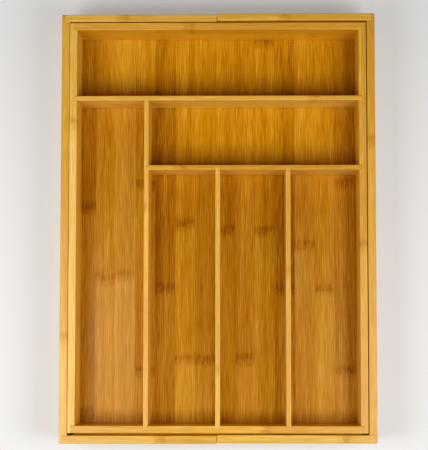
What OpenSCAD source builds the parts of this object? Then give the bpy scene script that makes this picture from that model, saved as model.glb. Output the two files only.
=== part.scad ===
// Expandable drawer organizer: a fixed centre tray of jointed bamboo boards, held
// between two U-shaped side frames that slide out to the left and the right.
// The origin lies on the drawer bottom, at the middle of the closed organizer.
// X runs to the right, Y to the back and Z up.

/* [Overall] */
// Width over both side frames when they are closed
closed_w = 330; // [300:1:380]
// Length of the side frames from front to back
length = 450; // [400:1:520]
// Height of the boards above the drawer bottom
height = 64; // [54:1:90]

/* [Boards] */
// Thickness of the side frames' side and front boards
frame_t = 8.4; // [7:0.1:10]
// Thickness of the side frames' back boards
back_t = 7.6; // [7:0.1:10]
// Thickness of the centre tray's walls
tray_t = 7.9; // [7:0.1:10]
// Thickness of the dividers
divider_t = 5; // [4:0.1:7]
// Thickness of the centre tray's floor panel
floor_t = 3; // [2:0.1:5]
// Thickness of the side frames' floor panels
slide_floor_t = 3; // [2:0.1:4]
// Radius of the eased edges
edge_r = 0.8; // [0.4:0.1:1.2]
// Radius of the side frames' upright outer corners
corner_r = 1.5; // [0.5:0.1:2.5]

/* [Compartments] */
// Length of the compartment along the back
back_bay = 70; // [50:0.1:90]
// Length of the wide compartment in the second row
second_bay = 68.3; // [50:0.1:90]
// Width of the tall compartment on the left
left_bay = 70.8; // [50:0.1:90]
// Width of the first of the three front compartments
mid_left_bay = 69.8; // [50:0.1:90]
// Width of the second front compartment, the third takes what is left
mid_right_bay = 68.8; // [50:0.1:90]

/* [Joinery] */
// Skin of a side board left outside a corner rabbet
lap_t = 3.5; // [2.5:0.1:4.5]
// Depth of the dados that hold the dividers in the tray's walls
wall_dado = 3; // [1.5:0.1:3.5]
// Depth of the dados that hold a divider in another divider
divider_dado = 2.4; // [1:0.1:2.8]
// Depth of the grooves that hold the floor panels
floor_groove = 3.5; // [2:0.1:4]
// Room for a floor panel to swell at the bottom of its groove
panel_clear = 0.3; // [0.1:0.1:0.8]

/* [Slides] */
// How far each side frame pulls out
travel = 110; // [60:1:120]
// Gap between the closed left frame and the tray
left_gap = 0.3; // [0.3:0.1:3]
// Gap between the closed right frame and the tray
right_gap = 0.8; // [0.3:0.1:3]
// Gap between the frames' front boards and the tray
front_gap = 1.9; // [1:0.1:4]
// Gap between the frames' back boards and the tray
back_gap = 1.5; // [0.7:0.1:4]
// How far the left frame sits to the front of its play, and the right frame to the back
frame_shift = 0.35; // [0:0.05:0.35]
// Gap between the two frames where their boards meet
seam_gap = 0.4; // [0.3:0.1:2]
// Place of that seam to the right of the middle
seam_x = -0.9; // [-5:0.1:5]
// Depth of the slide rails' middle below the boards' top edges
rail_drop = 9; // [7:0.5:11]
// Height of a slide rail
rail_h = 5; // [4:0.1:7]
// Depth of the groove that seats a rail in the tray's wall
rail_seat = 3; // [2:0.1:3.4]
// How far a rail stops short of the tray's sides
rail_inset = 6.5; // [4.5:0.1:12]
// How far a rail reaches into the frames' boards
rail_reach = 3; // [2:0.1:4]
// Room past the end of a rail in its running groove
rail_end_clear = 0.9; // [0.8:0.1:1.5]
// Running clearance above and below a sliding face
run_clear = 0.3; // [0.3:0.05:0.8]
// Height of the side frames' floor panels above the drawer bottom
slide_floor_lift = 1.5; // [1:0.1:3]
// How far the tray's walls reach below its floor, where they catch the stop strips
tray_lip = 3.2; // [2.5:0.1:5]
// Width of a stop strip
stop_w = 10; // [6:0.5:14]
// Clearance between a stop strip and the tray's floor
stop_clear = 0.6; // [0.4:0.1:1]
// Clearance at the ends of a stop strip
stop_end_clear = 2; // [1:0.1:10]
// Gap left between a stop strip and the tray at full travel
stop_slack = 0.2; // [0.1:0.1:1]

/* [Brads] */
// Diameter of the brads that pin the corners
brad_d = 1.2; // [1:0.1:1.6]
// Length of a brad
brad_l = 20; // [12:1:30]
// Diameter of a brad's head
brad_head_d = 2.2; // [2:0.1:3]
// Thickness of a brad's head
brad_head_t = 0.7; // [0.5:0.1:1]
// Depth of a head below the board's face
brad_sink = 0.3; // [0.1:0.1:0.8]
// Clearance round a brad in its hole
brad_clear = 0.05; // [0.02:0.01:0.1]
// Height of the lower brads above the drawer bottom
brad_rise = 18; // [15:0.5:21]
// Depth of the upper brads below the boards' top edges
brad_drop = 18; // [16:0.5:22]

/* [Hidden] */

// Flat steps in each eased quarter round
arc_steps = 3;
// How far a cut runs past the face it opens
cut = 1;
$fn = 32;

frame_colour = [0.91, 0.74, 0.46];
tray_colour = [0.88, 0.68, 0.37];
divider_colour = [0.86, 0.65, 0.33];
floor_colour = [0.76, 0.53, 0.2];
rail_colour = [0.67, 0.45, 0.17];
steel_colour = [0.72, 0.73, 0.75];

half_w = closed_w / 2;
half_l = length / 2;

// Outer faces of the tray
tray_left = -half_w + frame_t + left_gap;
tray_right = half_w - frame_t - right_gap;
tray_front = -half_l + frame_t + front_gap;
tray_back = half_l - back_t - back_gap;
tray_w = tray_right - tray_left;
tray_l = tray_back - tray_front;

// Inner faces of the tray
bay_left = tray_left + tray_t;
bay_right = tray_right - tray_t;
bay_front = tray_front + tray_t;
bay_back = tray_back - tray_t;

// Levels, from the frames' floor panels up to the floor that the compartments share
slide_floor_top = slide_floor_lift + slide_floor_t;
tray_base = slide_floor_top + run_clear;
floor_z = tray_base + tray_lip;
bay_z = floor_z + floor_t;
wall_h = height - tray_base;
divider_h = height - bay_z;

// Front faces of the dividers that run across, left faces of those that run front to back
back_divider_y = bay_back - back_bay - divider_t;
cross_divider_y = back_divider_y - second_bay - divider_t;
left_divider_x = bay_left + left_bay;
front_divider_left_x = left_divider_x + divider_t + mid_left_bay;
front_divider_right_x = front_divider_left_x + divider_t + mid_right_bay;

// Start of the dividers that stand in the front wall, and ends of those in the tray's walls
divider_front = bay_front - wall_dado;
across_right = bay_right + wall_dado;

panel_reach = floor_groove - panel_clear;
rail_z = height - rail_drop;
rail_l = tray_w - 2 * rail_inset;
groove_depth = rail_reach + rail_end_clear;
groove_h = rail_h + 2 * run_clear;
stop_h = floor_z - slide_floor_top - stop_clear;

// Lengths across each frame, from its outer face to its free end and to its stop strip
left_reach = half_w + seam_x - seam_gap / 2;
right_reach = half_w - seam_x - seam_gap / 2;
left_stop = bay_left + half_w + travel + stop_slack;
right_stop = half_w - bay_right + travel + stop_slack;

tray_brad_ys = [tray_front + tray_t / 2, tray_back - tray_t / 2];
frame_brad_ys = [-half_l + frame_t / 2, half_l - back_t / 2];

// One corner of an outline: a quarter round that starts at an angle, or a square corner
function corner_points(corner, inward, r, start) =
    r > 0
    ? [for (i = [0:arc_steps])
        let (a = start + 90 * i / arc_steps)
        corner + r * inward + r * [cos(a), sin(a)]]
    : [corner];

// A rectangle whose corners, from the lower left and counterclockwise, have these radii
function eased_outline(size, radii) = concat(
    corner_points([0, 0], [1, 1], radii[0], 180),
    corner_points([size.x, 0], [-1, 1], radii[1], 270),
    corner_points([size.x, size.y], [-1, -1], radii[2], 0),
    corner_points([0, size.y], [1, -1], radii[3], 90)
);

// A board with its top edges eased by the radius given for each side, and its upright
// corners by the radii in corners, from the front left and counterclockwise
module eased_board(size, left = 0, right = 0, front = 0, back = 0, corners = [0, 0, 0, 0]) {
    intersection() {
        translate([0, size.y, 0])
            rotate([90, 0, 0])
                linear_extrude(size.y)
                    polygon(eased_outline([size.x, size.z], [0, 0, right, left]));
        rotate([90, 0, 90])
            linear_extrude(size.x)
                polygon(eased_outline([size.y, size.z], [0, 0, back, front]));
        linear_extrude(size.z)
            polygon(eased_outline([size.x, size.y], corners));
    }
}

// A divider that runs from front to back
module divider_along(x, y_from, y_to) {
    translate([x, y_from, bay_z])
        eased_board([divider_t, y_to - y_from, divider_h], left = edge_r, right = edge_r);
}

// A divider that runs across
module divider_across(y, x_from, x_to) {
    translate([x_from, y, bay_z])
        eased_board([x_to - x_from, divider_t, divider_h], front = edge_r, back = edge_r);
}

// A cut from the tray floor's level up through the top edge
module dado(x, y, w, l) {
    translate([x, y, bay_z])
        cube([w, l, divider_h + cut]);
}

// Brads lie along X, with the face of the head at the origin
module brad() {
    rotate([0, 90, 0]) {
        cylinder(d = brad_head_d, h = brad_head_t);
        cylinder(d = brad_d, h = brad_l);
    }
}

module brad_hole() {
    mouth = brad_sink + cut;
    rotate([0, 90, 0]) {
        translate([0, 0, -mouth])
            cylinder(d = brad_head_d + 2 * brad_clear, h = mouth + brad_head_t + brad_clear);
        cylinder(d = brad_d + 2 * brad_clear, h = brad_l + brad_clear);
    }
}

module at_corner_brads(ys) {
    for (y = ys, z = [brad_rise, height - brad_drop])
        translate([0, y, z])
            children();
}

// Both sides of the tray are pinned from their outer faces
module at_tray_brads() {
    translate([tray_left + brad_sink, 0, 0])
        at_corner_brads(tray_brad_ys)
            children();
    translate([tray_right - brad_sink, 0, 0])
        mirror([1, 0, 0])
            at_corner_brads(tray_brad_ys)
                children();
}

// The tray's left wall before its dados: rabbets for the front and back walls at its ends,
// and a groove for the floor. The right wall is its mirror image.
module tray_side_blank() {
    difference() {
        translate([0, tray_front, tray_base])
            eased_board([tray_t, tray_l, wall_h], edge_r, edge_r, edge_r, edge_r, [edge_r, 0, 0, edge_r]);
        for (y = [tray_front - cut, tray_back - tray_t])
            translate([lap_t, y, tray_base - cut])
                cube([tray_t, tray_t + cut, wall_h + 2 * cut]);
        translate([tray_t - floor_groove, tray_front - cut, floor_z])
            cube([floor_groove + cut, tray_l + 2 * cut, floor_t]);
    }
}

// The tray's front wall before its dados, with the floor's groove on its inner face and
// the rail's seat on its outer face. The back wall is its mirror image.
module tray_end_blank() {
    w = tray_w - 2 * lap_t;
    difference() {
        translate([tray_left + lap_t, 0, tray_base])
            eased_board([w, tray_t, wall_h], front = edge_r, back = edge_r);
        translate([tray_left, tray_t - floor_groove, floor_z])
            cube([tray_w, floor_groove + cut, floor_t]);
        translate([tray_left + rail_inset, -cut, rail_z - rail_h / 2])
            cube([rail_l, rail_seat + cut, rail_h]);
    }
}

module tray_left_wall() {
    color(tray_colour)
        difference() {
            translate([tray_left, 0, 0])
                tray_side_blank();
            dado(bay_left - wall_dado, back_divider_y, wall_dado + cut, divider_t);
            at_tray_brads()
                brad_hole();
        }
}

module tray_right_wall() {
    color(tray_colour)
        difference() {
            translate([tray_right, 0, 0])
                mirror([1, 0, 0])
                    tray_side_blank();
            for (y = [back_divider_y, cross_divider_y])
                dado(bay_right - cut, y, wall_dado + cut, divider_t);
            at_tray_brads()
                brad_hole();
        }
}

module tray_front_wall() {
    color(tray_colour)
        difference() {
            translate([0, tray_front, 0])
                tray_end_blank();
            for (x = [left_divider_x, front_divider_left_x, front_divider_right_x])
                dado(x, divider_front, divider_t, wall_dado + cut);
            at_tray_brads()
                brad_hole();
        }
}

module tray_back_wall() {
    color(tray_colour)
        difference() {
            translate([0, tray_back, 0])
                mirror([0, 1, 0])
                    tray_end_blank();
            at_tray_brads()
                brad_hole();
        }
}

module tray_floor() {
    color(floor_colour)
        translate([bay_left - panel_reach, bay_front - panel_reach, floor_z])
            cube([bay_right - bay_left + 2 * panel_reach, bay_back - bay_front + 2 * panel_reach, floor_t]);
}

module back_divider() {
    color(divider_colour)
        difference() {
            divider_across(back_divider_y, bay_left - wall_dado, across_right);
            dado(left_divider_x, back_divider_y - cut, divider_t, divider_dado + cut);
        }
}

module left_divider() {
    color(divider_colour)
        difference() {
            divider_along(left_divider_x, divider_front, back_divider_y + divider_dado);
            dado(left_divider_x + divider_t - divider_dado, cross_divider_y, divider_dado + cut, divider_t);
        }
}

module cross_divider() {
    color(divider_colour)
        difference() {
            divider_across(cross_divider_y, left_divider_x + divider_t - divider_dado, across_right);
            for (x = [front_divider_left_x, front_divider_right_x])
                dado(x, cross_divider_y - cut, divider_t, divider_dado + cut);
        }
}

module front_divider_left() {
    color(divider_colour)
        divider_along(front_divider_left_x, divider_front, cross_divider_y + divider_dado);
}

module front_divider_right() {
    color(divider_colour)
        divider_along(front_divider_right_x, divider_front, cross_divider_y + divider_dado);
}

// A rail glued into the tray's front wall, with its running edges eased
module slide_rail(gap) {
    rail_w = rail_seat + gap + rail_reach;
    translate([tray_left + rail_inset, rail_seat - rail_w, rail_z - rail_h / 2])
        rotate([90, 0, 90])
            linear_extrude(rail_l)
                polygon(eased_outline([rail_w, rail_h], [edge_r, 0, 0, edge_r]));
}

module front_slide_rail() {
    color(rail_colour)
        translate([0, tray_front, 0])
            slide_rail(front_gap);
}

module back_slide_rail() {
    color(rail_colour)
        translate([0, tray_back, 0])
            mirror([0, 1, 0])
                slide_rail(back_gap);
}

module tray_brads() {
    color(steel_colour)
        at_tray_brads()
            brad();
}

// Each frame is drawn with its outer face at x = 0 and its boards reaching along +X
module in_left_frame() {
    translate([-half_w, -frame_shift, 0])
        children();
}

module in_right_frame() {
    translate([half_w, frame_shift, 0])
        mirror([1, 0, 0])
            children();
}

module frame_brad_holes() {
    translate([brad_sink, 0, 0])
        at_corner_brads(frame_brad_ys)
            brad_hole();
}

module frame_side() {
    color(frame_colour)
        difference() {
            translate([0, -half_l, 0])
                eased_board([frame_t, length, height], edge_r, edge_r, edge_r, edge_r,
                    [corner_r, 0, 0, corner_r]);
            for (end = [[-half_l - cut, frame_t], [half_l - back_t, back_t]])
                translate([lap_t, end[0], -cut])
                    cube([frame_t, end[1] + cut, height + 2 * cut]);
            translate([frame_t - floor_groove, -half_l - cut, slide_floor_lift])
                cube([floor_groove + cut, length + 2 * cut, slide_floor_t]);
            frame_brad_holes();
        }
}

// A front board before its brad holes, with the rail's running groove and the floor's groove
// on its inner face. A back board is its mirror image, in its own thickness.
module frame_end_blank(reach, t) {
    inner_y = -half_l + t;
    difference() {
        translate([lap_t, -half_l, 0])
            eased_board([reach - lap_t, t, height], right = edge_r, front = edge_r, back = edge_r,
                corners = [0, edge_r, edge_r, 0]);
        translate([0, inner_y - groove_depth, rail_z - groove_h / 2])
            cube([reach + cut, groove_depth + cut, groove_h]);
        translate([0, inner_y - floor_groove, slide_floor_lift])
            cube([reach + cut, floor_groove + cut, slide_floor_t]);
    }
}

module frame_front(reach) {
    color(frame_colour)
        difference() {
            frame_end_blank(reach, frame_t);
            frame_brad_holes();
        }
}

module frame_back(reach) {
    color(frame_colour)
        difference() {
            mirror([0, 1, 0])
                frame_end_blank(reach, back_t);
            frame_brad_holes();
        }
}

module frame_floor(stop_x) {
    panel_front = -half_l + frame_t - panel_reach;
    panel_back = half_l - back_t + panel_reach;
    panel_left = frame_t - panel_reach;
    color(floor_colour)
        translate([panel_left, panel_front, slide_floor_lift])
            cube([stop_x + stop_w - panel_left, panel_back - panel_front, slide_floor_t]);
}

// A strip on the inner edge of a frame's floor, which meets the tray's wall at full travel
module stop_strip(stop_x) {
    strip_front = bay_front + stop_end_clear;
    color(rail_colour)
        translate([stop_x, strip_front, slide_floor_top])
            cube([stop_w, bay_back - stop_end_clear - strip_front, stop_h]);
}

module frame_brads() {
    color(steel_colour)
        translate([brad_sink, 0, 0])
            at_corner_brads(frame_brad_ys)
                brad();
}

tray_left_wall();
tray_right_wall();
tray_front_wall();
tray_back_wall();
tray_floor();
back_divider();
left_divider();
cross_divider();
front_divider_left();
front_divider_right();
front_slide_rail();
back_slide_rail();
tray_brads();
in_left_frame() frame_side();  // left_frame_side
in_left_frame() frame_front(left_reach);  // left_frame_front
in_left_frame() frame_back(left_reach);  // left_frame_back
in_left_frame() frame_floor(left_stop);  // left_frame_floor
in_left_frame() stop_strip(left_stop);  // left_stop_strip
in_left_frame() frame_brads();  // left_frame_brads
in_right_frame() frame_side();  // right_frame_side
in_right_frame() frame_front(right_reach);  // right_frame_front
in_right_frame() frame_back(right_reach);  // right_frame_back
in_right_frame() frame_floor(right_stop);  // right_frame_floor
in_right_frame() stop_strip(right_stop);  // right_stop_strip
in_right_frame() frame_brads();  // right_frame_brads
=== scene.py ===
# Expandable bamboo drawer organizer: finish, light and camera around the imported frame
from math import radians

import bmesh
import bpy
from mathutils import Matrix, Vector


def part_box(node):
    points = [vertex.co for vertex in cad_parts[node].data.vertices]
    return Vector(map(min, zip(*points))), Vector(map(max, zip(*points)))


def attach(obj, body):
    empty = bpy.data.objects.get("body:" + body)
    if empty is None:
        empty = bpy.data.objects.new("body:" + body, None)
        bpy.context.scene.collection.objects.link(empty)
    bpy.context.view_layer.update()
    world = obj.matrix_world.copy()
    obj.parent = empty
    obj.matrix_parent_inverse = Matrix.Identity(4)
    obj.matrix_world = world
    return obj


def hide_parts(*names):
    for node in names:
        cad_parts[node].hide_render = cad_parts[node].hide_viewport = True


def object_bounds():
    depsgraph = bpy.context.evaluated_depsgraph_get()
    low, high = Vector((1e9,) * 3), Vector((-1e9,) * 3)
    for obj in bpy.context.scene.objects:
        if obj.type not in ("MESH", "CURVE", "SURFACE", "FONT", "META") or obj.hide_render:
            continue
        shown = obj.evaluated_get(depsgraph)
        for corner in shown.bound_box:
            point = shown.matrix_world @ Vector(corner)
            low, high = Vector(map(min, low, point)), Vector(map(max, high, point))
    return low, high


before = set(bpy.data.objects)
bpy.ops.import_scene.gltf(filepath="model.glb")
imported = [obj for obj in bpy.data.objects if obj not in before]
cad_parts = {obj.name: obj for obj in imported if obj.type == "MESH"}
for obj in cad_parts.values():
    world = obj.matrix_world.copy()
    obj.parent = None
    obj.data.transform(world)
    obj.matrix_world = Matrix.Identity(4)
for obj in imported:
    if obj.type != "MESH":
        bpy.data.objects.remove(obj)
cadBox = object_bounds()
print("frame loaded,", len(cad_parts), "nodes")


# a socket in a material's node tree, so shader maths reads as plain expressions
class Wire:
    def __init__(self, tree, socket=None):
        self.tree = tree
        self.socket = socket

    # any node: its type, the settings it needs first, then values or wires for its sockets
    def node(self, kind, settings=None, sockets=None, out=0):
        made = self.tree.nodes.new(kind)
        for name, value in (settings or {}).items():
            if name == "stops":
                ramp = made.color_ramp
                while len(ramp.elements) < len(value):
                    ramp.elements.new(1.0)
                for element, (place, colour) in zip(ramp.elements, value):
                    element.position = place
                    element.color = (*colour, 1.0)
            else:
                setattr(made, name, value)
        for name, value in (sockets or {}).items():
            if isinstance(value, Wire):
                self.tree.links.new(value.socket, made.inputs[name])
            else:
                made.inputs[name].default_value = value
        return Wire(self.tree, made.outputs[out] if len(made.outputs) else None)

    def maths(self, operation, *values):
        return self.node("ShaderNodeMath", {"operation": operation}, dict(enumerate(values)))

    def __add__(self, other):
        return self.maths("ADD", self, other)

    def __radd__(self, other):
        return self.maths("ADD", other, self)

    def __sub__(self, other):
        return self.maths("SUBTRACT", self, other)

    def __rsub__(self, other):
        return self.maths("SUBTRACT", other, self)

    def __mul__(self, other):
        return self.maths("MULTIPLY", self, other)

    def __rmul__(self, other):
        return self.maths("MULTIPLY", other, self)

    def __truediv__(self, other):
        return self.maths("DIVIDE", self, other)

    def __abs__(self):
        return self.maths("ABSOLUTE", self)

    # 0 at the low value, 1 at the high one, with a soft start and end
    def fade(self, low, high):
        return self.node(
            "ShaderNodeMapRange",
            {"interpolation_type": "SMOOTHSTEP"},
            {"Value": self, "From Min": low, "From Max": high},
        )

    # 1 around zero, fading out from core to edge on both sides
    def within(self, core, edge):
        return 1.0 - abs(self).fade(core, edge)


def startMaterial(name):
    material = bpy.data.materials.new(name)
    material.use_nodes = True
    material.node_tree.nodes.clear()
    return material, Wire(material.node_tree)


def closeMaterial(wire, sockets):
    surface = wire.node("ShaderNodeBsdfPrincipled", None, sockets)
    wire.node("ShaderNodeOutputMaterial", None, {"Surface": surface})


def splitAxes(wire, vector):
    split = wire.node("ShaderNodeSeparateXYZ", None, {0: vector}).socket.node
    return [Wire(wire.tree, axis) for axis in split.outputs]


def objectAxes(wire):
    return splitAxes(wire, wire.node("ShaderNodeTexCoord", out="Object"))


# sockets 6 and 7 are the two colours, and output 2 is their mix
def mixColour(wire, factor, first, second, blend="MIX"):
    settings = {"data_type": "RGBA", "blend_type": blend}
    return wire.node("ShaderNodeMix", settings, {0: factor, 6: first, 7: second}, 2)


# a chance between 0 and 1 that stays the same for a seed
def chanceOf(seed):
    return seed.node("ShaderNodeTexWhiteNoise", {"noise_dimensions": "1D"}, {"W": seed}, "Value")


def putInScene(name, data):
    thing = bpy.data.objects.new(name, data)
    bpy.context.scene.collection.objects.link(thing)
    return thing


def aim(thing, spec):
    thing.location = spec["place"]
    thing.rotation_euler = [radians(angle) for angle in spec["turn"]]


def addPiece(name, mesh, material):
    data = bpy.data.meshes.new(name)
    mesh.to_mesh(data)
    mesh.free()
    data.materials.append(material)
    return putInScene(name, data)


# a CAD node keeps its mesh and gets one material
def finishNode(node, material):
    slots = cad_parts[node].data.materials
    slots.clear()
    slots.append(material)


# bamboo: colours from dark fibre bundles to pale pith, in a golden and a rosier make of it;
# widths and lengths of its streaks in metres, and how much each kind counts in the tone
bamboo = {
    "golden": [
        (0.0, (0.10, 0.026, 0.0004)),
        (0.3, (0.33, 0.112, 0.0005)),
        (0.5, (0.54, 0.232, 0.0015)),
        (0.6, (0.62, 0.292, 0.010)),
        (0.7, (0.69, 0.348, 0.021)),
        (0.85, (0.80, 0.450, 0.044)),
        (1.0, (0.90, 0.575, 0.090)),
    ],
    "rosy": [
        (0.0, (0.11, 0.029, 0.001)),
        (0.3, (0.35, 0.118, 0.002)),
        (0.5, (0.56, 0.236, 0.007)),
        (0.6, (0.63, 0.294, 0.021)),
        (0.7, (0.70, 0.349, 0.038)),
        (0.85, (0.82, 0.457, 0.080)),
        (1.0, (0.91, 0.595, 0.165)),
    ],
    "bandWide": 0.0090,
    "bandLong": 0.22,
    "bandWeight": 0.40,
    "lineWide": 0.0012,
    "lineLong": 0.065,
    "lineWeight": 0.32,
    "lineDetail": 2.0,
    "fibreWide": 0.0009,
    "fibreLong": 0.022,
    "fibreWeight": 0.60,
    "paleLift": 1.3,  # lets pale streaks stand out more than dark ones
    "hueWide": 0.0030,
    "hueLong": 0.06,
    "hueWeight": 0.9,  # how far the hue follows the lines and fibres
    "hueSoft": (0.15, 0.85),
}

# satin lacquer: the floors are smoother and reflect less; the bump's depth is in metres
lacquer = {
    "roughness": 0.34,
    "gloss": 0.50,
    "floorRoughness": 0.20,
    "floorGloss": 0.18,
    "lineRoughness": 0.12,
    "endRoughness": 0.15,
    "bumpStrength": 0.10,
    "bumpDeep": 0.0004,
    "lineHigh": 0.6,
    "fibreHigh": 0.8,
    "markHigh": 0.5,
}

# steps between seeds, so that the patterns on one board don't fall together
seedStep = {"dashes": 3.1, "flecks": 8.3, "swirl": 5.7, "hue": 11.3}


# streaks that run along the grain: axes are the places along it, across it and through the board
def streaks(axes, wide, long, seed, detail=1.0):
    along, across, deep = axes
    place = {0: along / long + seed, 1: across / wide, 2: deep / wide}
    spot = along.node("ShaderNodeCombineXYZ", None, place)
    return along.node("ShaderNodeTexNoise", None, {"Vector": spot, "Scale": 1.0, "Detail": detail})


# the same, above and below zero
def swings(*streak):
    return streaks(*streak) - 0.5


# the mottled band where a culm had its node: sizes in metres, dark and pale in tone; a pair says where
# a fade starts and ends, and the soft ones are in noise values
culmNode = {
    "wander": 0.008,  # how far it strays from a straight line
    "wanderWide": 0.03,
    "wanderLong": 0.007,
    "band": (0.0025, 0.0095),
    "bandDark": 0.075,
    "dashWide": 0.0016,
    "dashLong": 0.0060,
    "dashSoft": (0.42, 0.68),
    "dashDark": 0.125,
    "rimAt": 0.0035,
    "rim": (0.0004, 0.0026),
    "fleckWide": 0.0014,
    "fleckLong": 0.0040,
    "fleckSoft": (0.54, 0.70),
    "fleckPale": 0.12,
    "step": 0.003,  # the strip is a little darker past its node than before it
    "stepReach": (0.01, 0.16),
    "stepDark": 0.08,
    "bend": 0.0025,  # how far the streaks swerve beside it
    "bendReach": (0.003, 0.030),
    "swirlWide": 0.006,
    "swirlLong": 0.012,
}


# how much darker a node makes each spot, and how near it is; gap is the distance along the strip
def nodeMark(axes, gap, seed):
    along, across, deep = axes
    sideways = (across, along, deep)
    wander = swings(sideways, culmNode["wanderWide"], culmNode["wanderLong"], seed) * culmNode["wander"]
    here = gap + wander
    dashes = streaks(axes, culmNode["dashWide"], culmNode["dashLong"], seed + seedStep["dashes"])
    flecks = streaks(axes, culmNode["fleckWide"], culmNode["fleckLong"], seed + seedStep["flecks"])
    dashDark = dashes.fade(*culmNode["dashSoft"]) * culmNode["dashDark"]
    band = here.within(*culmNode["band"]) * (dashDark + culmNode["bandDark"])
    rim = (here + culmNode["rimAt"]).within(*culmNode["rim"])
    pale = rim * flecks.fade(*culmNode["fleckSoft"]) * culmNode["fleckPale"]
    past = here.fade(-culmNode["step"], culmNode["step"]) - 0.5
    step = past * gap.within(*culmNode["stepReach"]) * culmNode["stepDark"]
    return band - pale + step, gap.within(*culmNode["bendReach"])


# how pale each spot is: bands, lines and fibres around a tone, bent a little beside a node
def bambooTone(axes, make):
    along, across, deep = axes
    seed = make["seed"]
    dark = sum(mark for mark, near in make["marks"])
    bend = sum(near for mark, near in make["marks"])
    swirl = swings(axes, culmNode["swirlWide"], culmNode["swirlLong"], seed + seedStep["swirl"])
    bent = (along, across + swirl * bend * culmNode["bend"], deep)
    bands = swings(bent, bamboo["bandWide"], bamboo["bandLong"], seed)
    lines = swings(bent, bamboo["lineWide"], bamboo["lineLong"], seed, bamboo["lineDetail"])
    fibres = swings(bent, bamboo["fibreWide"], bamboo["fibreLong"], seed)
    detail = bands * bamboo["bandWeight"] + lines * bamboo["lineWeight"] + fibres * bamboo["fibreWeight"]
    detail = detail * make["contrast"]
    level = make["tone"] + detail + detail * detail * bamboo["paleLift"] - dark
    return level, lines, fibres, dark


# colour of a tone between the golden and the rosy make
def bambooColour(level, rosy):
    golden = level.node("ShaderNodeValToRGB", {"stops": bamboo["golden"]}, {0: level})
    pink = level.node("ShaderNodeValToRGB", {"stops": bamboo["rosy"]}, {0: level})
    return mixColour(level, rosy, golden, pink)


# lacquered bamboo; an end grain is the mask of where it shows and its colour
def lacquerBamboo(wire, axes, make, endGrain=None):
    level, lines, fibres, dark = bambooTone(axes, make)
    hue = streaks(axes, bamboo["hueWide"], bamboo["hueLong"], make["seed"] + seedStep["hue"])
    hue = hue + lines * bamboo["hueWeight"] + fibres * bamboo["hueWeight"]
    rosy = (hue + make["rosy"] - 0.5).fade(*bamboo["hueSoft"])
    colour = bambooColour(level, rosy)
    if "tint" in make:
        colour = mixColour(wire, 1.0, colour, make["tint"], "MULTIPLY")
    rough = make["rough"] - lines * lacquer["lineRoughness"]
    height = lines * lacquer["lineHigh"] + fibres * lacquer["fibreHigh"] - dark * lacquer["markHigh"]
    if endGrain is not None:
        mask, endColour = endGrain
        colour = mixColour(wire, mask, colour, endColour)
        rough = rough + mask * lacquer["endRoughness"]
    bump = {"Strength": lacquer["bumpStrength"], "Distance": lacquer["bumpDeep"], "Height": height}
    sockets = {
        "Base Color": colour,
        "Roughness": rough,
        "Normal": wire.node("ShaderNodeBump", None, bump),
        "Specular IOR Level": make["gloss"],
    }
    closeMaterial(wire, sockets)


# floor panels: strips side by side, front to back, each with its own tone, hue and node places
stripKeys = ("stripTone", "stripRosy", "nodeOne", "nodeTwo", "stripSeed")
farAway = 9.0  # node place of a strip that shows none

trayFloor = {
    "body": "tray",
    "lengthwise": (
        "tray_left_wall",
        "tray_right_wall",
        "left_divider",
        "front_divider_left",
        "front_divider_right",
    ),
    "crosswise": ("tray_front_wall", "tray_back_wall", "back_divider", "cross_divider"),
    "stripWide": 0.0215,
    "firstEdge": -0.133,
    "seedStep": 3.7,
    "contrast": 0.79,
    "contrastSpread": 0.15,
    "baseTone": 0.51,
    # painted light: the floor paler towards the front, where the lamps are nearer
    "paler": 0.30,  # tone gained per metre towards the front
    # painted sheen: the rosier, bluer make grows towards the front, where the soft boxes reflect
    "rosier": 4.5,  # the rosy share's growth per metre towards the front
    "seamWide": 0.02,  # share of a strip's width
    "seamDark": 0.07,
    # shade on the upper side: reaches in metres, and how dark or pale it is in tone
    "cornerReach": 0.0025,
    "cornerDark": 0.05,
    "marginReach": 0.020,
    "marginDark": 0.075,
    "frontReach": 0.016,
    "frontDark": 0.12,
    "backReach": 0.032,
    "backPale": 0.055,
    # tone against the panel's own, share of the rosy make, then the places of the nodes in metres
    "strips": [
        (0.00, 0.85, 0.023, -0.196),
        (0.07, 0.65, -0.053, farAway),
        (0.18, 0.65, -0.049, farAway),
        (0.07, 0.35, 0.048, -0.152),
        (-0.06, 0.45, -0.063, farAway),
        (0.05, 0.25, 0.006, -0.139),
        (0.04, 0.20, -0.140, farAway),
        (0.02, 0.05, -0.001, farAway),
        (-0.01, 0.50, -0.139, farAway),
        (-0.02, 0.15, 0.205, -0.002),
        (-0.07, 0.20, -0.063, farAway),
        (0.03, 0.80, -0.016, farAway),
        (0.02, 0.50, -0.065, farAway),
        (-0.045, 0.60, 0.050, -0.152),
        (-0.05, 0.50, farAway, farAway),
    ],
}

# the side frames' floors differ in these; shift moves the nodes along the strips
slideFloors = {
    "left_frame": {"firstEdge": -0.145, "shift": 0.013, "baseTone": 0.55},
    "right_frame": {"firstEdge": 0.040, "shift": -0.021, "baseTone": 0.55},
}


# 1 beside any of the boards, fading out at the reach
def besideBoards(x, y, nodes, reach):
    nearest = None
    for node in nodes:
        low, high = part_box(node)
        gapX = abs(x - (low.x + high.x) / 2) - (high.x - low.x) / 2
        gapY = abs(y - (low.y + high.y) / 2) - (high.y - low.y) / 2
        gap = x.maths("MAXIMUM", gapX, gapY)
        nearest = gap if nearest is None else x.maths("MINIMUM", nearest, gap)
    return 1.0 - nearest.fade(0.0, reach)


# 1 at the bays' ends, fading out at the reach: behind the crosswise boards, or in front of them
def bayEnds(x, y, nodes, reach, behind):
    soft = 0.001
    ends = 0.0
    for node in nodes:
        low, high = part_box(node)
        gap = y - high.y if behind else low.y - y
        halfWide = (high.x - low.x) / 2
        across = (x - (low.x + high.x) / 2).within(halfWide, halfWide + soft)
        ends = ends + (gap.fade(-soft, 0.0) - gap.fade(0.0, reach)) * across
    return ends


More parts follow.
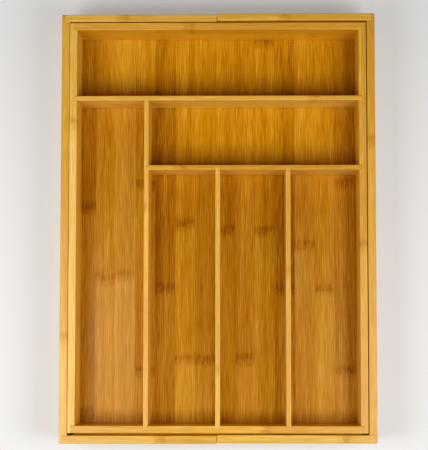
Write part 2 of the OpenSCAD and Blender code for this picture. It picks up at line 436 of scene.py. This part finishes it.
# shade of the bays: dark beside the boards and at the front ends, paler at the lit back ends
def floorShade(x, y, spec):
    lengthwise = spec["lengthwise"]
    crosswise = spec["crosswise"]
    corner = besideBoards(x, y, lengthwise + crosswise, spec["cornerReach"])
    margin = besideBoards(x, y, lengthwise, spec["marginReach"])
    frontEnd = bayEnds(x, y, crosswise, spec["frontReach"], True)
    backEnd = bayEnds(x, y, crosswise, spec["backReach"], False)
    dark = corner * spec["cornerDark"] + margin * spec["marginDark"] + frontEnd * spec["frontDark"]
    return dark - backEnd * spec["backPale"]


def floorMaterial(node, spec):
    material, wire = startMaterial(node + "_bamboo")
    x, y, z = objectAxes(wire)
    axes = (y, x, z)
    low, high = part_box(node)
    fact = {}
    for key in stripKeys:
        fact[key] = wire.node("ShaderNodeAttribute", {"attribute_name": key}, out="Fac")
    seed = fact["stripSeed"]
    acrossStrip = splitAxes(wire, wire.node("ShaderNodeUVMap", {"uv_map": "strip"}))[0]
    seam = 1.0 - (0.5 - abs(acrossStrip - 0.5)).fade(0.0, spec["seamWide"])
    above = z.fade((low.z + high.z) / 2, high.z)  # keeps the shade off the underside
    shade = floorShade(x, y, spec) * above
    # painted light and shade in the tone: the bays' shade and the paler front; in the rosy share: sheen
    # towards the front
    make = {
        "seed": seed,
        "tone": fact["stripTone"] - y * spec["paler"] - seam * spec["seamDark"] - shade,
        "rosy": fact["stripRosy"] * (1.0 - y * spec["rosier"]),
        "marks": [nodeMark(axes, y - fact[key], seed) for key in ("nodeOne", "nodeTwo")],
        "contrast": chanceOf(seed) * spec["contrastSpread"] + spec["contrast"],
        "rough": lacquer["floorRoughness"],
        "gloss": lacquer["floorGloss"],
    }
    lacquerBamboo(wire, axes, make)
    return material


# a panel cut into strips, whose faces carry what their strip looks like
def stripPanel(node, spec):
    material = floorMaterial(node, spec)
    low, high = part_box(node)
    stripWide = spec["stripWide"]
    mesh = bmesh.new()
    bmesh.ops.create_cube(mesh, size=1.0)
    bmesh.ops.scale(mesh, vec=high - low, verts=mesh.verts)
    bmesh.ops.translate(mesh, vec=(low + high) / 2, verts=mesh.verts)
    edge = spec["firstEdge"]
    while edge < high.x:
        if edge > low.x:
            parts = mesh.verts[:] + mesh.edges[:] + mesh.faces[:]
            bmesh.ops.bisect_plane(mesh, geom=parts, dist=1e-6, plane_co=(edge, 0, 0), plane_no=(1, 0, 0))
        edge += stripWide
    layers = [mesh.faces.layers.float.new(key) for key in stripKeys]
    uvLayer = mesh.loops.layers.uv.new("strip")
    for face in mesh.faces:
        index = int((face.calc_center_median().x - spec["firstEdge"]) // stripWide) + 1
        tone, rosy, nodeOne, nodeTwo = spec["strips"][index % len(spec["strips"])]
        facts = (spec["baseTone"] + tone, rosy, nodeOne, nodeTwo, index * spec["seedStep"])
        for layer, value in zip(layers, facts):
            face[layer] = value
        stripLeft = spec["firstEdge"] + (index - 1) * stripWide
        for loop in face.loops:
            loop[uvLayer].uv = ((loop.vert.co.x - stripLeft) / stripWide, loop.vert.co.y)
    panel = addPiece(node + "_strips", mesh, material)
    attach(panel, spec["body"])
    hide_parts(node)


stripPanel("tray_floor", trayFloor)
for body, spec in slideFloors.items():
    shift = spec["shift"]
    own = {
        "body": body,
        "lengthwise": (body + "_side",),
        "crosswise": (body + "_front", body + "_back"),
        "firstEdge": spec["firstEdge"],
        "baseTone": spec["baseTone"],
        "strips": [(tone, rosy, one + shift, two + shift) for tone, rosy, one, two in trayFloor["strips"]],
    }
    stripPanel(body + "_floor", {**trayFloor, **own})
print("floor panels laid in strips")

# tints that a board's colour is multiplied with; all but untinted are painted light
# painted sheen: the front boards' tops and the left wall's top paler and yellower, where the soft boxes
# reflect
frontSheenTint = (0.98, 1.08, 1.25, 1.0)
leftSheenTint = (1.01, 1.05, 1.25, 1.0)
# painted shade and bounce light: the back wall's top more orange, its upright faces deep amber, as in the
# dim back bay
backShadeTint = (1.02, 0.94, 0.95, 1.0)
backBounceTint = (1.03, 0.93, 0.30, 1.0)
untinted = (1.0, 1.0, 1.0, 1.0)

# boards, with the grain along X or Y: tone of the edges, how much paler the upright faces are (face),
# and the place of one node along the grain in metres
# painted light and shade: face makes a board's upright faces paler where they turn to the lamps, darker
# where they turn away
boards = {
    "left_frame_side": {"grain": "Y", "tone": 0.71, "face": 0.04, "seed": 1.3, "nodeAt": -0.117},
    "left_frame_front": {"grain": "X", "tone": 0.66, "face": 0.04, "seed": 2.9, "nodeAt": -0.06},
    "left_frame_back": {"grain": "X", "tone": 0.77, "face": 0.04, "seed": 4.1, "nodeAt": -0.1},
    "right_frame_side": {"grain": "Y", "tone": 0.59, "face": 0.06, "seed": 5.7, "nodeAt": 0.09},
    "right_frame_front": {"grain": "X", "tone": 0.65, "face": 0.04, "seed": 6.3, "nodeAt": 0.13},
    "right_frame_back": {"grain": "X", "tone": 0.76, "face": 0.04, "seed": 7.7, "nodeAt": 0.07},
    "tray_left_wall": {"grain": "Y", "tone": 0.80, "face": 0.01, "seed": 8.9, "nodeAt": 0.11},
    "tray_right_wall": {"grain": "Y", "tone": 0.61, "face": 0.07, "seed": 9.4, "nodeAt": -0.02},
    "tray_front_wall": {"grain": "X", "tone": 0.64, "face": -0.10, "seed": 10.6, "nodeAt": 0.05},
    "tray_back_wall": {"grain": "X", "tone": 0.73, "face": 0.07, "seed": 11.2, "nodeAt": -0.03},
    "back_divider": {"grain": "X", "tone": 0.75, "face": 0.20, "seed": 12.8, "nodeAt": 0.1},
    "left_divider": {"grain": "Y", "tone": 0.79, "face": 0.04, "seed": 13.5, "nodeAt": 0.02},
    "cross_divider": {"grain": "X", "tone": 0.55, "face": 0.36, "seed": 14.1, "nodeAt": -0.04},
    "front_divider_left": {"grain": "Y", "tone": 0.74, "face": 0.05, "seed": 15.9, "nodeAt": -0.15},
    "front_divider_right": {"grain": "Y", "tone": 0.68, "face": 0.05, "seed": 16.3, "nodeAt": -0.049},
    # painted shade and light: the front rail darker and the back rail paler than their wood, as the front
    # gap lies in shade and the back gap is lit
    "front_slide_rail": {"grain": "X", "tone": 0.27, "seed": 17.7, "nodeAt": 0.03, "gloss": 0.05},
    "back_slide_rail": {"grain": "X", "tone": 0.50, "seed": 18.2, "nodeAt": -0.05, "gloss": 0.05},
    "left_stop_strip": {"grain": "Y", "tone": 0.5, "seed": 19.6, "nodeAt": 0.08, "gloss": 0.05},
    "right_stop_strip": {"grain": "Y", "tone": 0.5, "seed": 20.4, "nodeAt": -0.09, "gloss": 0.05},
}

# boards with painted light in their colour: the tint of the faces that look up, then of the upright ones
paintedLightTints = {
    "left_frame_front": (frontSheenTint, untinted),
    "right_frame_front": (frontSheenTint, untinted),
    "tray_left_wall": (leftSheenTint, untinted),
    "tray_back_wall": (backShadeTint, backBounceTint),
}

# boards are glued from strips stacked in height; sizes in metres, dark in tone
lamination = {
    "high": 0.0205,
    "topShare": 0.01,  # keeps the top face in the uppermost strip
    "seedStep": 3.0,
    "nodeSpacing": 0.34,
    "nodeStep": 0.13,
    "toneSpread": 0.10,
    "contrast": 0.68,
    "rosy": 0.5,  # of the edges; the upright faces are golden
    "uprightSoft": (0.5, 0.85),
    "endSoft": (0.6, 0.8),
    "endDark": 0.10,
    "poreWide": 0.0007,
    "poreSoft": (0.42, 0.62),
    "poreDark": 0.24,
}


def boardMaterial(node, grain, tone, seed, nodeAt, face=0.0, gloss=lacquer["gloss"]):
    material, wire = startMaterial(node + "_bamboo")
    x, y, z = objectAxes(wire)
    axes = (x, y, z) if grain == "X" else (y, x, z)
    layer = wire.maths("FLOOR", (cadBox[1].z - z) / lamination["high"] + lamination["topShare"])
    half = lamination["nodeSpacing"] / 2
    gap = wire.maths("WRAP", axes[0] - nodeAt - layer * lamination["nodeStep"], half, -half)
    facing = dict(zip("XYZ", splitAxes(wire, wire.node("ShaderNodeTexCoord", out="Normal"))))
    upright = facing["Z"].within(*lamination["uprightSoft"])
    # painted light and shade: the upright faces shifted in tone by face
    own = tone + (chanceOf(layer + seed) - 0.5) * lamination["toneSpread"] + upright * face
    boardSeed = layer * lamination["seedStep"] + seed
    make = {
        "seed": boardSeed,
        "tone": own,
        "rosy": lamination["rosy"] - upright * lamination["rosy"],
        "marks": [nodeMark(axes, gap, boardSeed)],
        "contrast": lamination["contrast"],
        "rough": lacquer["roughness"],
        "gloss": gloss,
    }
    # painted sheen and shade, multiplied into the board's colour
    if node in paintedLightTints:
        make["tint"] = mixColour(wire, upright, *paintedLightTints[node])
    pores = streaks((x, y, z), lamination["poreWide"], lamination["poreWide"], seed)
    pores = pores.fade(*lamination["poreSoft"])
    endColour = bambooColour(own - lamination["endDark"] - pores * lamination["poreDark"], pores)
    endMask = abs(facing[grain]).fade(*lamination["endSoft"])
    lacquerBamboo(wire, axes, make, (endMask, endColour))
    return material


for node, spec in boards.items():
    finishNode(node, boardMaterial(node, **spec))
print("boards finished:", len(boards))

# brads: bright steel, slightly brushed
brads = {
    "nodes": ("tray_brads", "left_frame_brads", "right_frame_brads"),
    "bright": (0.55, 0.54, 0.52, 1.0),
    "dull": (0.36, 0.34, 0.31, 1.0),
    "gritWide": 0.0003,
    "gritSeed": 0.5,
    "gritSoft": (0.3, 0.7),
    "roughness": 0.25,
    "roughSpread": 0.3,
}


def bradMaterial():
    material, wire = startMaterial("bradSteel")
    grit = streaks(objectAxes(wire), brads["gritWide"], brads["gritWide"], brads["gritSeed"])
    sockets = {
        "Base Color": mixColour(wire, grit.fade(*brads["gritSoft"]), brads["bright"], brads["dull"]),
        "Metallic": 1.0,
        "Roughness": grit * brads["roughSpread"] + brads["roughness"],
    }
    closeMaterial(wire, sockets)
    return material


steel = bradMaterial()
for node in brads["nodes"]:
    finishNode(node, steel)
print("brads finished")

# plain pale ground, with a faint glow that keeps the shadow beside the boards light
ground = {
    "size": 20.0,
    "drop": 0.0002,
    "colour": (0.555, 0.555, 0.55, 1.0),
    "roughness": 0.75,
    "glow": 0.26,
    "glowColour": (1.0, 0.98, 0.96, 1.0),
}


def layGround():
    material, wire = startMaterial("paleGround")
    sockets = {
        "Base Color": ground["colour"],
        "Roughness": ground["roughness"],
        "Emission Color": ground["glowColour"],
        "Emission Strength": ground["glow"],
    }
    closeMaterial(wire, sockets)
    mesh = bmesh.new()
    bmesh.ops.create_grid(mesh, x_segments=1, y_segments=1, size=ground["size"] / 2)
    bmesh.ops.translate(mesh, vec=(0, 0, cadBox[0].z - ground["drop"]), verts=mesh.verts)
    addPiece("ground", mesh, material)


layGround()
print("ground laid")

# two soft boxes above the front, left and right, two weak strips low at the sides, and a weak sky
lights = {
    "leftBox": {"place": (-0.51, -0.27, 0.92), "turn": (-9, -26, 0), "size": (0.52, 0.5), "watts": 6.4},
    "rightBox": {"place": (0.53, -0.27, 0.92), "turn": (-12, 26, 0), "size": (0.52, 0.5), "watts": 6.9},
    "leftStrip": {"place": (-1.15, 0.10, 0.62), "turn": (0, -62, 0), "size": (0.4, 0.9), "watts": 3.6},
    "rightStrip": {"place": (1.15, 0.10, 0.62), "turn": (0, 62, 0), "size": (0.4, 0.9), "watts": 2.4},
}
sky = {"colour": (1.0, 0.98, 0.95, 1.0), "strength": 0.06}


def hangLights():
    for name, spec in lights.items():
        lamp = bpy.data.lights.new(name, "AREA")
        lamp.shape = "RECTANGLE"
        lamp.size, lamp.size_y = spec["size"]
        lamp.energy = spec["watts"]
        aim(putInScene(name, lamp), spec)
    world = bpy.data.worlds.new("sky")
    world.use_nodes = True
    backdrop = world.node_tree.nodes["Background"]
    backdrop.inputs["Color"].default_value = sky["colour"]
    backdrop.inputs["Strength"].default_value = sky["strength"]
    bpy.context.scene.world = world
    bpy.context.scene.view_settings.view_transform = "Standard"


hangLights()

# camera almost straight above, a little to the front
view = {"place": (0.0232, -0.115, 1.6264), "turn": (4.266, 0.998, 0.036), "lens": 120.0}


def setCamera():
    lens = bpy.data.cameras.new("camera")
    lens.lens = view["lens"]
    camera = putInScene("camera", lens)
    aim(camera, view)
    bpy.context.scene.camera = camera


setCamera()
print("light and camera set")
